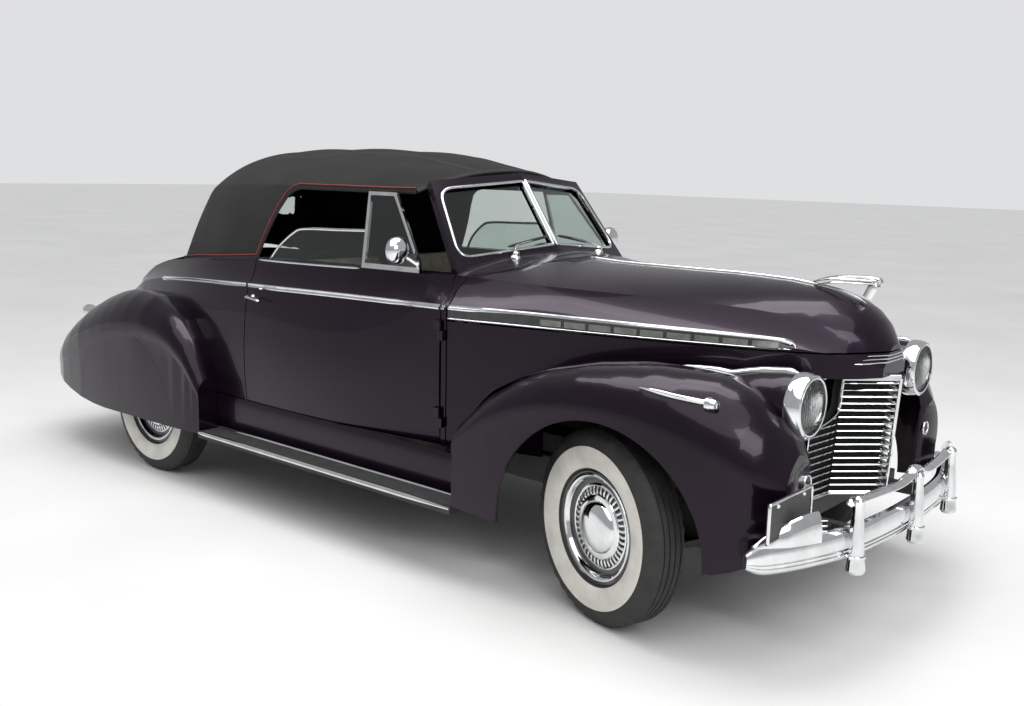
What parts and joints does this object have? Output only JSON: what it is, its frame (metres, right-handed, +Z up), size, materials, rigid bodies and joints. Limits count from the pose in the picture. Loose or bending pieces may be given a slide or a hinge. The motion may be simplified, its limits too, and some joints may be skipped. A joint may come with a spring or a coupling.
{
  "type": "convertible car",
  "caption": "Convertible car of about 1940, fabric top up, with separate fenders, running boards, skirted rear wheels and a prow grille; doors, hood, boot lid, wheels and steering move.",
  "frame": {"origin": "on the ground at the middle of the overall length and width", "axes": "+X forward, +Y to the car's left, +Z up"},
  "size_m": [4.895, 1.8448, 1.6914],
  "materials": {
    "paint": "deep gloss",
    "chassis_black": "satin",
    "chrome": "polished",
    "glass": "clear",
    "canvas": "woven",
    "rubber": "ribbed",
    "plate_black": "satin",
    "trim_paint": "gloss",
    "trim_plastic": "gloss",
    "leather": "soft grain",
    "tyre": "matt with a white side wall",
    "wheel_metal": "gloss with a bright cover"
  },
  "bodies": {
    "chassis": {"frame": "chassis_black", "engine": "chassis_black", "gearbox": "chassis_black", "radiator": "chassis_black", "fuel_tank": "chassis_black", "exhaust": "chassis_black", "rear_axle": "chassis_black", "front_suspension": "chassis_black", "floor": "chassis_black", "cowl": "paint", "rear_body": "paint", "fixed_glass": "glass", "front_panels": "paint", "grille": "chrome", "soft_top": "canvas", "front_fenders": "paint", "rear_fenders": "paint", "running_boards": "rubber", "front_bumper": "chrome", "rear_bumper": "chrome", "number_plate": "plate_black", "lamp_bodies": "chrome", "lamp_lenses": "glass", "dashboard": "trim_paint", "front_seat": "leather", "rear_seat": "leather"},
    "hood": {"hood": "paint", "hood_ornament": "chrome"},
    "door_right": {"door_right": "paint", "door_frame_right": "chrome", "door_glass_right": "glass"},
    "door_left": {"door_left": "paint", "door_frame_left": "chrome", "door_glass_left": "glass"},
    "boot_lid": {"boot_lid": "paint"},
    "knuckle_right": {"knuckle_right": "chassis_black"},
    "knuckle_left": {"knuckle_left": "chassis_black"},
    "tie_rod": {"tie_rod": "chassis_black"},
    "steering_wheel": {"steering_wheel": "trim_plastic"},
    "wheel_front_right": {"tyre_front_right": "tyre", "wheel_front_right": "wheel_metal"},
    "wheel_front_left": {"tyre_front_left": "tyre", "wheel_front_left": "wheel_metal"},
    "wheel_rear_right": {"tyre_rear_right": "tyre", "wheel_rear_right": "wheel_metal"},
    "wheel_rear_left": {"tyre_rear_left": "tyre", "wheel_rear_left": "wheel_metal"}
  },
  "joints": [
    {"name": "hood_hinge", "type": "hinge", "parent": "chassis", "child": "hood", "pos_m": [0.7325, 0, 1.165], "axis": [0, -1, 0], "range_deg": [0, 45]},
    {"name": "door_right_hinge", "type": "hinge", "parent": "chassis", "child": "door_right", "pos_m": [0.7125, -0.712, 0.8], "axis": [0, 0, 1], "range_deg": [0, 65]},
    {"name": "door_left_hinge", "type": "hinge", "parent": "chassis", "child": "door_left", "pos_m": [0.7125, 0.712, 0.8], "axis": [0, 0, -1], "range_deg": [0, 65]},
    {"name": "boot_lid_hinge", "type": "hinge", "parent": "chassis", "child": "boot_lid", "pos_m": [-1.6745, 0, 1.086], "axis": [0, 1, 0], "range_deg": [0, 60]},
    {"name": "steering", "type": "hinge", "parent": "chassis", "child": "steering_wheel", "pos_m": [0.3225, 0.35, 1.04], "axis": [-0.8977, 0, 0.4406], "range_deg": [-200, 760]},
    {"name": "knuckle_right_pivot", "type": "hinge", "parent": "chassis", "child": "knuckle_right", "pos_m": [1.6125, -0.62, 0.355], "axis": [0, 0, 1], "range_deg": [-12.5, 47.5]},
    {"name": "knuckle_left_pivot", "type": "hinge", "parent": "chassis", "child": "knuckle_left", "pos_m": [1.6125, 0.62, 0.355], "axis": [0, 0, 1], "range_deg": [-12.5, 47.5]},
    {"name": "tie_rod_pivot", "type": "hinge", "parent": "knuckle_left", "child": "tie_rod", "pos_m": [1.43129, 0.67713, 0.245], "axis": [0, 0, 1], "range_deg": [-47.5, 12.5]},
    {"name": "wheel_front_right_spin", "type": "hinge", "parent": "knuckle_right", "child": "wheel_front_right", "pos_m": [1.57942, -0.72491, 0.355], "axis": [0.3007, 0.9537, 0], "continuous": true},
    {"name": "wheel_front_left_spin", "type": "hinge", "parent": "knuckle_left", "child": "wheel_front_left", "pos_m": [1.64558, 0.72491, 0.355], "axis": [0.3007, 0.9537, 0], "continuous": true},
    {"name": "wheel_rear_right_spin", "type": "hinge", "parent": "chassis", "child": "wheel_rear_right", "pos_m": [-1.2575, -0.75, 0.355], "axis": [0, 1, 0], "continuous": true},
    {"name": "wheel_rear_left_spin", "type": "hinge", "parent": "chassis", "child": "wheel_rear_left", "pos_m": [-1.2575, 0.75, 0.355], "axis": [0, 1, 0], "continuous": true}
  ],
  "couplings": [
    {"joint": "knuckle_right_pivot", "follows": "steering", "ratio": 0.0625},
    {"joint": "knuckle_left_pivot", "follows": "steering", "ratio": 0.0625},
    {"joint": "tie_rod_pivot", "follows": "steering", "ratio": -0.0625}
  ]
}
